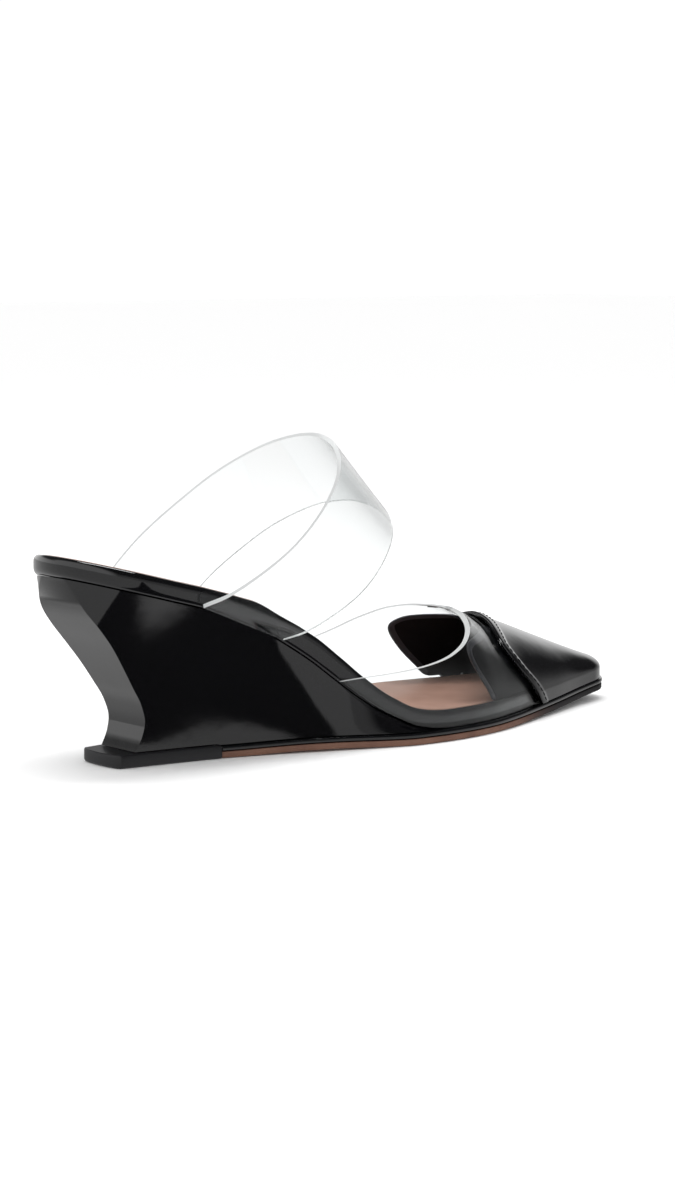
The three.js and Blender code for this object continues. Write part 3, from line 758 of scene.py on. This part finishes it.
def centripetal(points, count):
    """Points evenly spaced along a centripetal Catmull-Rom curve."""
    p = np.asarray(points, float)
    p = np.concatenate([[2 * p[0] - p[1]], p, [2 * p[-1] - p[-2]]])
    fine = []
    for i in range(len(p) - 3):
        a, b, c, d = p[i:i + 4]
        t1 = np.linalg.norm(b - a) ** .5
        t2 = t1 + np.linalg.norm(c - b) ** .5
        t3 = t2 + np.linalg.norm(d - c) ** .5
        for t in np.linspace(t1, t2, 40, endpoint=False):
            a1 = (t1 - t) / t1 * a + t / t1 * b
            a2 = (t2 - t) / (t2 - t1) * b + (t - t1) / (t2 - t1) * c
            a3 = (t3 - t) / (t3 - t2) * c + (t - t2) / (t3 - t2) * d
            b1 = (t2 - t) / t2 * a1 + t / t2 * a2
            b2 = (t3 - t) / (t3 - t1) * a2 + (t - t1) / (t3 - t1) * a3
            fine.append((t2 - t) / (t2 - t1) * b1 + (t - t1) / (t2 - t1) * b2)
    fine.append(p[-2])
    fine = np.array(fine)
    length = np.concatenate([[0], np.cumsum(np.linalg.norm(np.diff(fine, axis=0), axis=1))])
    even = np.linspace(0, length[-1], count)
    return np.stack([np.interp(even, length, fine[:, k]) for k in range(3)], 1)


def strap_loop(count, foot, rise, lean):
    lateral, medial = BOARD_OUTLINE["widths"](np.float64(foot), FIT_GAP + STRAP_WALL)
    low = board_bottom(np.float64(foot))
    points = [(foot, lateral, low)]
    points += [(foot + lean * r, STRAP_HALF_WIDTH * a, low + rise * r) for a, r in LOOP]
    points.append((foot, medial, low))
    return centripetal(points, count)


def strap_piece():
    along, across = 150, 11
    rear = strap_loop(along, **REAR_EDGE)
    front = strap_loop(along, **FRONT_EDGE)
    share = np.linspace(0, 1, across)[None, :, None]
    outer = rear[:, None, :] * (1 - share) + front[:, None, :] * share
    chord = np.gradient(outer, axis=0)
    width = (front - rear)[:, None, :]
    normal = np.cross(chord, np.broadcast_to(width, chord.shape))
    normal /= np.linalg.norm(normal, axis=2)[..., None]
    inner = outer + normal * STRAP_WALL
    ends = {0, along - 1}
    return shell("clear_strap", outer.reshape(-1, 3), inner.reshape(-1, 3), grid_faces(along, across),
                 cut_finish=lambda a, b: 2 if a // across == b // across and a // across in ends else 1)


strap = strap_piece()

# %% [markdown]
# ## Stitches on the cap's fold
# A row of small stitches holds the folded edge. They repeat along a path, so Geometry Nodes places one
# stitch on each point of a resampled curve. The stitch length is a named input of the tree.

# %% Stitch row


def add_node(tree, kind, links=None, **settings):
    """Adds a node, sets its properties and sockets, and links sockets from other nodes' outputs."""
    node = tree.nodes.new(kind)
    for key, value in settings.items():
        if hasattr(node, key):
            setattr(node, key, value)
        else:
            node.inputs[key.replace("_", " ")].default_value = value
    for socket, source in (links or {}).items():
        tree.links.new(source, node.inputs[socket])
    return node


def map_range(tree, value, low, high, to_low, to_high):
    """A smooth step of a value from one number to another."""
    node = add_node(tree, "ShaderNodeMapRange", {"Value": value}, interpolation_type="SMOOTHSTEP")
    for name, number in (("From Min", low), ("From Max", high), ("To Min", to_low), ("To Max", to_high)):
        node.inputs[name].default_value = number
    return node.outputs["Result"]


def colour(hexed):
    """An sRGB hex colour as linear red, green, blue and alpha."""
    parts = [int(hexed[i:i + 2], 16) / 255 for i in (1, 3, 5)]
    return tuple([c / 12.92 if c <= .04045 else ((c + .055) / 1.055) ** 2.4 for c in parts] + [1.0])


def stitch_path():
    points = []
    turns = np.concatenate([np.linspace(-.55, 0, 8)[:-1], (math.pi / 2) * np.linspace(0, 1, 40)])
    for side in (-1, 1):
        start = seam_place(turns, side, CAP_OUTER)
        row = upper_point(start + 3.0, turns, side, 2.24)
        points.append(row if side < 0 else row[::-1][1:])
    return np.concatenate(points)


def stitches_piece(path, thread):
    curve = bpy.data.curves.new("stitch_path", "CURVE")
    curve.dimensions = "3D"
    spline = curve.splines.new("POLY")
    spline.points.add(len(path) - 1)
    for point, place in zip(spline.points, path * MM):
        point.co = (*place, 1)
    holder = bpy.data.objects.new("stitch_row", bpy.data.meshes.new("stitch_row"))
    source = bpy.data.objects.new("stitch_path", curve)
    for obj in (holder, source):
        bpy.context.scene.collection.objects.link(obj)
    tree = bpy.data.node_groups.new("stitches", "GeometryNodeTree")
    tree.interface.new_socket("Path", in_out="INPUT", socket_type="NodeSocketObject")
    pitch = tree.interface.new_socket("Pitch", in_out="INPUT", socket_type="NodeSocketFloat")
    tree.interface.new_socket("Geometry", in_out="OUTPUT", socket_type="NodeSocketGeometry")
    inputs = tree.nodes.new("NodeGroupInput")
    info = add_node(tree, "GeometryNodeObjectInfo", {"Object": inputs.outputs["Path"]})
    resample = add_node(tree, "GeometryNodeResampleCurve", {
        "Curve": info.outputs["Geometry"], "Length": inputs.outputs["Pitch"],
    }, mode="LENGTH")
    stitch = add_node(tree, "GeometryNodeMeshUVSphere", Segments=8, Rings=6, Radius=1.0)
    tangent = tree.nodes.new("GeometryNodeInputTangent")
    turn = add_node(tree, "FunctionNodeAlignRotationToVector", {
        "Vector": tangent.outputs["Tangent"],
    }, axis="X")
    place = add_node(tree, "GeometryNodeInstanceOnPoints", {
        "Points": resample.outputs["Curve"],
        "Instance": stitch.outputs["Mesh"],
        "Rotation": turn.outputs[0],
    }, Scale=(.92 * MM, .26 * MM, .2 * MM))
    real = add_node(tree, "GeometryNodeRealizeInstances", {"Geometry": place.outputs["Instances"]})
    paint = add_node(tree, "GeometryNodeSetMaterial", {
        "Geometry": real.outputs["Geometry"],
    }, Material=thread)
    out = tree.nodes.new("NodeGroupOutput")
    tree.links.new(paint.outputs["Geometry"], out.inputs["Geometry"])
    modifier = holder.modifiers.new("stitches", "NODES")
    modifier.node_group = tree
    modifier[tree.interface.items_tree["Path"].identifier] = source
    modifier[pitch.identifier] = 2.3 * MM
    depsgraph = bpy.context.evaluated_depsgraph_get()
    depsgraph.update()
    mesh = bpy.data.meshes.new_from_object(holder.evaluated_get(depsgraph), depsgraph=depsgraph)
    holder.modifiers.clear()
    holder.data = mesh
    mesh.polygons.foreach_set("use_smooth", [True] * len(mesh.polygons))
    bpy.data.objects.remove(source)
    print("stitches:", len(mesh.polygons), "faces")
    return holder


# %% [markdown]
# ## Materials
# Patent leather is leather under a thick clear lacquer: black with a mirror coat that is never quite
# flat. The vinyl is clear PVC sheet, about 1.5 mm, and its knife-cut edge is frosted. The insole is a
# smooth vegetable-tanned leather, with fine pores and a slow change of tone. The lift is moulded
# rubber.

# %% Materials


def new_material(name):
    material = bpy.data.materials.new(name)
    material.use_nodes = True
    tree = material.node_tree
    return material, tree, tree.nodes["Principled BSDF"]


def object_noise(tree, scale, detail=3.0, rough=.5):
    """A noise on Object coordinates, with its scale in lumps for each metre."""
    where = tree.nodes.new("ShaderNodeTexCoord")
    return add_node(tree, "ShaderNodeTexNoise", {
        "Vector": where.outputs["Object"],
    }, Scale=scale, Detail=detail, Roughness=rough)


def bump_from(tree, shader, height, strength, distance, socket="Normal", before=None):
    links = {"Height": height}
    if before is not None:
        links["Normal"] = before
    bump = add_node(tree, "ShaderNodeBump", links, Strength=strength, Distance=distance)
    tree.links.new(bump.outputs["Normal"], shader.inputs[socket])
    return bump


def patent_leather(name, wave):
    """Lacquered leather: a dark base, a clear coat, and slow waves about 12 mm long in the lacquer."""
    material, tree, shader = new_material(name)
    shader.inputs["Base Color"].default_value = colour("#08080a")
    shader.inputs["Roughness"].default_value = .07
    shader.inputs["IOR"].default_value = 1.5
    shader.inputs["Coat Weight"].default_value = 1.0
    shader.inputs["Coat Roughness"].default_value = .03
    shader.inputs["Coat IOR"].default_value = 1.5
    slow = object_noise(tree, 80, 2.0)
    fine = object_noise(tree, 1800, 2.0)
    wavy = bump_from(tree, shader, slow.outputs["Fac"], wave, .0006, "Coat Normal")
    bump_from(tree, shader, fine.outputs["Fac"], .12, .0001, "Normal", wavy.outputs["Normal"])
    return material


def clear_vinyl():
    """Clear PVC sheet: mirror smooth with slow waves, slightly grey in the thickness."""
    material, tree, shader = new_material("clear_pvc_sheet")
    shader.inputs["Base Color"].default_value = colour("#f8fafa")
    shader.inputs["Roughness"].default_value = .02
    shader.inputs["IOR"].default_value = 1.45
    shader.inputs["Transmission Weight"].default_value = 1.0
    slow = object_noise(tree, 45, 1.0)
    bump_from(tree, shader, slow.outputs["Fac"], .08, .0006)
    return material


def cut_vinyl():
    """The knife-cut edge of the sheet: finely frosted, so it is pale on black and faint on white."""
    material, tree, shader = new_material("cut_pvc_edge")
    shader.inputs["Base Color"].default_value = colour("#f0f2f2")
    shader.inputs["Roughness"].default_value = .35
    shader.inputs["IOR"].default_value = 1.45
    shader.inputs["Transmission Weight"].default_value = .4
    frost = object_noise(tree, 2500, 2.0)
    bump_from(tree, shader, frost.outputs["Fac"], .2, .0001)
    return material


def smooth_leather(name, light, dark, roughness, pores, gloss=.5):
    """Smooth dyed leather: pores about 0.4 mm apart and a slow change of tone over 20 mm."""
    material, tree, shader = new_material(name)
    tone = object_noise(tree, 50, 4.0, .6)
    blend = add_node(tree, "ShaderNodeValToRGB", {"Fac": tone.outputs["Fac"]})
    blend.color_ramp.elements[0].position = .3
    blend.color_ramp.elements[0].color = colour(dark)
    blend.color_ramp.elements[1].position = .7
    blend.color_ramp.elements[1].color = colour(light)
    tree.links.new(blend.outputs["Color"], shader.inputs["Base Color"])
    where = tree.nodes.new("ShaderNodeTexCoord")
    grain = add_node(tree, "ShaderNodeTexVoronoi", {"Vector": where.outputs["Object"]}, Scale=2500.0)
    bump_from(tree, shader, grain.outputs["Distance"], pores, .0001)
    shader.inputs["Roughness"].default_value = roughness
    shader.inputs["Specular IOR Level"].default_value = gloss
    return material


def sole_edge(material):
    """The sole's tan edge is mixed to near-black towards the toe, as painted shade there."""
    tree = material.node_tree
    shader = tree.nodes["Principled BSDF"]
    tan = shader.inputs["Base Color"].links[0].from_socket
    where = tree.nodes.new("ShaderNodeTexCoord")
    split = add_node(tree, "ShaderNodeSeparateXYZ", {"Vector": where.outputs["Object"]})
    # Painted shade: from 120 to 165 mm along the shoe the tan edge is mixed to near-black.
    toe_painted_shade = add_node(tree, "ShaderNodeMix", data_type="RGBA")
    tree.links.new(map_range(tree, split.outputs["X"], .12, .165, 0, 1), toe_painted_shade.inputs["Factor"])
    tree.links.new(tan, toe_painted_shade.inputs[6])
    toe_painted_shade.inputs[7].default_value = colour("#141214")
    tree.links.new(toe_painted_shade.outputs[2], shader.inputs["Base Color"])


def moulded_rubber():
    """Black rubber for heel lifts: matte, with fine ground texture from the trimming wheel."""
    material, tree, shader = new_material("moulded_rubber")
    shader.inputs["Base Color"].default_value = colour("#1a1a1d")
    shader.inputs["Roughness"].default_value = .42
    grit = object_noise(tree, 2200, 3.0)
    bump_from(tree, shader, grit.outputs["Fac"], .25, .00012)
    return material


def plain_thread():
    """Bonded polyester thread, black, a little shiny."""
    material, tree, shader = new_material("bonded_thread")
    shader.inputs["Base Color"].default_value = colour("#17171a")
    shader.inputs["Roughness"].default_value = .38
    twist = object_noise(tree, 3000, 1.0)
    bump_from(tree, shader, twist.outputs["Fac"], .3, .00008)
    return material


PATENT = patent_leather("patent_leather", .10)
CAP_PATENT = patent_leather("patent_leather_lasted", .16)
VINYL_MATERIAL = clear_vinyl()
TAN = smooth_leather("tan_sock_leather", "#b48d7c", "#9f7867", .45, .12, .3)
EDGE_TAN = smooth_leather("tan_sole_leather", "#7d5b4b", "#5f4236", .5, .3, .3)
LINING = smooth_leather("black_lining_leather", "#121214", "#0b0b0d", .4, .15, .12)
# The folded rim is the lining's black leather, drawn lighter grey as a painted sheen on the fold.
RIM_LEATHER_PAINTED_SHEEN = smooth_leather("black_folded_rim_painted_sheen", "#37373b", "#26262a", .35, .15, .3)
sole_edge(EDGE_TAN)
CUT_VINYL = cut_vinyl()
RUBBER = moulded_rubber()
THREAD = plain_thread()
stitches = stitches_piece(stitch_path(), THREAD)

# %% [markdown]
# ## Dress the frame
# Each piece takes its material, rides on the one body of the shoe and replaces its CAD solid. Clear
# sheet would throw a black shadow in this renderer, so the two vinyl pieces throw none.

# %% Ride and replace


def dress(piece, material, node):
    if not piece.data.materials:
        piece.data.materials.append(material)
    if node:
        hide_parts(node)
    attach(piece, "root")


dress(outsole, EDGE_TAN, "outsole")
dress(welt, PATENT, "welt")
dress(lift, RUBBER, "top_lift")
dress(wedge, PATENT, "wedge")
dress(board, PATENT, "insole_board")
dress(insole, TAN, "insole")
dress(vamp, VINYL_MATERIAL, "vamp")
dress(cap, CAP_PATENT, "toe_cap")
for lining in linings:
    dress(lining, LINING, "toe_lining")
for rim in rims:
    dress(rim, RIM_LEATHER_PAINTED_SHEEN, None)
dress(strap, VINYL_MATERIAL, "instep_strap")
dress(stitches, THREAD, None)
for piece in (vamp, strap):
    piece.data.materials.append(CUT_VINYL)
    piece.data.materials.append(PATENT)
    piece.visible_shadow = False

# %% [markdown]
# ## Floor, light and camera
# A catalogue picture stands the shoe on a white sweep under a soft box. Patent leather is a mirror, so
# what it shows is the room. After a mirror bounce the world is dim, with light low down and on the
# inner side, and the floor is a painted reflection: a grey glow, with a painted dark patch beside the
# wedge.

# %% Floor and light


def reflected_only(tree):
    """One after a mirror bounce, and zero where a surface is seen directly or through clear sheet."""
    path = tree.nodes.new("ShaderNodeLightPath")
    return add_node(tree, "ShaderNodeMath", {
        0: path.outputs["Glossy Depth"],
    }, operation="GREATER_THAN", use_clamp=True).outputs["Value"]


def combine(tree, first, second, operation):
    return add_node(tree, "ShaderNodeMath", {0: first, 1: second}, operation=operation).outputs["Value"]


def stage_floor():
    mesh = bpy.data.meshes.new("floor")
    size = 6.0
    corners = [(-size, -size, 0), (size, -size, 0), (size, size, 0), (-size, size, 0)]
    mesh.from_pydata(corners, [], [(0, 1, 2, 3)])
    floor = bpy.data.objects.new("floor", mesh)
    floor.location.z = -.0002
    bpy.context.scene.collection.objects.link(floor)
    material, tree, shader = new_material("white_sweep")
    shader.inputs["Base Color"].default_value = colour("#fdfdfd")
    shader.inputs["Roughness"].default_value = .9
    shader.inputs["Specular IOR Level"].default_value = .1
    where = tree.nodes.new("ShaderNodeTexCoord")
    split = add_node(tree, "ShaderNodeSeparateXYZ", {"Vector": where.outputs["Object"]})
    # Painted reflection: seen after a mirror bounce the floor glows grey, and a patch beside the wedge
    # glows almost black.
    rear_edge = map_range(tree, split.outputs["X"], -.06, -.055, 0, 1)
    front_edge = map_range(tree, split.outputs["X"], .052, .056, 1, 0)
    beside = map_range(tree, split.outputs["Y"], -.045, -.04, 1, 0)
    painted_dark_patch = combine(tree, combine(tree, rear_edge, front_edge, "MULTIPLY"), beside, "MULTIPLY")
    dim = add_node(tree, "ShaderNodeEmission", {"Strength": map_range(tree, painted_dark_patch, 0, 1, .45, .02)})
    mix = add_node(tree, "ShaderNodeMixShader", {
        "Fac": reflected_only(tree), 1: shader.outputs["BSDF"], 2: dim.outputs["Emission"],
    })
    tree.links.new(mix.outputs["Shader"], tree.nodes["Material Output"].inputs["Surface"])
    floor.data.materials.append(material)


def area_light(name, place, target, size, power, tint="#ffffff"):
    light = bpy.data.lights.new(name, "AREA")
    light.shape = "RECTANGLE"
    light.size, light.size_y = size
    light.energy = power
    light.color = colour(tint)[:3]
    lamp = bpy.data.objects.new(name, light)
    lamp.location = place
    lamp.rotation_euler = (Vector(target) - Vector(place)).to_track_quat("-Z", "Y").to_euler()
    bpy.context.scene.collection.objects.link(lamp)
    return lamp


stage_floor()
SHOE_MIDDLE = (.08, 0, .04)
area_light("overhead_softbox", (.15, .1, 1.1), SHOE_MIDDLE, (.8, .3), 5)

world = bpy.data.worlds.new("studio")
bpy.context.scene.world = world
world.use_nodes = True
tree = world.node_tree
bright = tree.nodes["Background"]
bright.inputs["Color"].default_value = (1, 1, 1, 1)
bright.inputs["Strength"].default_value = 1.04
where = tree.nodes.new("ShaderNodeTexCoord")
split = add_node(tree, "ShaderNodeSeparateXYZ", {"Vector": where.outputs["Generated"]})
behind = map_range(tree, split.outputs["X"], -.75, -.45, .8, .03)
low = map_range(tree, split.outputs["Z"], .25, .45, 1, .08)
across = combine(tree, map_range(tree, split.outputs["Y"], .1, .6, .0, .8), low, "MULTIPLY")
behind = combine(tree, behind, map_range(tree, split.outputs["Z"], .1, .35, .3, .03), "MAXIMUM")
dim = add_node(tree, "ShaderNodeBackground", {"Strength": combine(tree, behind, across, "MAXIMUM")},
               Color=(1, 1, 1, 1))
mix = add_node(tree, "ShaderNodeMixShader", {
    "Fac": reflected_only(tree), 1: bright.outputs["Background"], 2: dim.outputs["Background"],
})
tree.links.new(mix.outputs["Shader"], tree.nodes["World Output"].inputs["Surface"])
bpy.context.scene.view_settings.view_transform = "Standard"

# %% [markdown]
# ## Camera
# The camera stands where the photograph's did, a little above the floor and beside the heel. It is
# turned to the one shoe and its lens is longer, so that this shoe fills the picture without a change of
# angle.

# %% Camera
camera_data = bpy.data.cameras.new("camera")
camera_data.sensor_fit = "VERTICAL"
camera_data.sensor_height = 24
camera_data.lens = 57
camera = bpy.data.objects.new("camera", camera_data)
camera.location = (-.529, -.7364, .1645)
aim = Vector((.0765, 0, .045))
camera.rotation_euler = (aim - camera.location).to_track_quat("-Z", "Y").to_euler()
bpy.context.scene.collection.objects.link(camera)
bpy.context.scene.camera = camera
